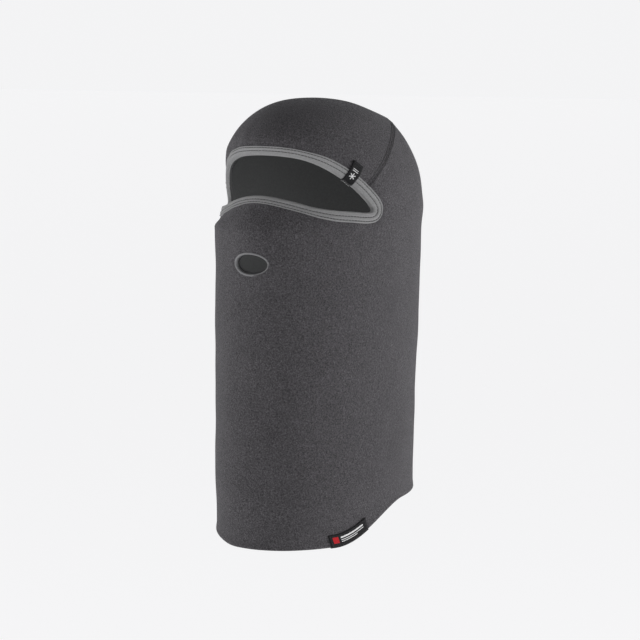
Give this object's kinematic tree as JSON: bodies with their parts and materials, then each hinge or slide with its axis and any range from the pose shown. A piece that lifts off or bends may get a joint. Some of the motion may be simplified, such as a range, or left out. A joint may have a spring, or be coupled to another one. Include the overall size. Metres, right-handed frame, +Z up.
{
  "type": "balaclava",
  "caption": "Full-face fleece balaclava as worn: bound eye opening, slanted crown seam, oval breathing hole, bib hem, woven labels.",
  "frame": {"origin": "inside of the crown, where the top of the wearer's head sits; the head fills the space below it", "axes": "+Z up from the neck to the crown; the face looks along -Y; the wearer's left side, with both labels, is at +X"},
  "size_m": [0.164, 0.2335, 0.3778],
  "materials": {
    "fleece": "matte brushed grid-less fleece, dark grey",
    "binding": "matte elastic binding tape, mid grey",
    "thread": "polyester thread, grey",
    "film": "bonded stretch film, satin grey",
    "film_dark": "bonded stretch film, dark",
    "label": "woven damask label, black",
    "label_thread": "fine polyester thread, black"
  },
  "bodies": {
    "root": {"brow_panel": "fleece", "body_panel": "fleece", "eye_binding": "binding", "eye_stitch_inner": "thread", "eye_stitch_outer": "thread", "crown_seam_upper": "thread", "crown_seam_lower": "thread", "crown_seam_looper": "thread", "back_seam_left": "thread", "back_seam_right": "thread", "back_seam_looper": "thread", "vent_rim": "film", "vent_backing": "film_dark", "brow_label": "label", "brow_label_stitch": "label_thread", "hem_label": "label", "hem_label_stitch": "label_thread"}
  },
  "joints": []
}
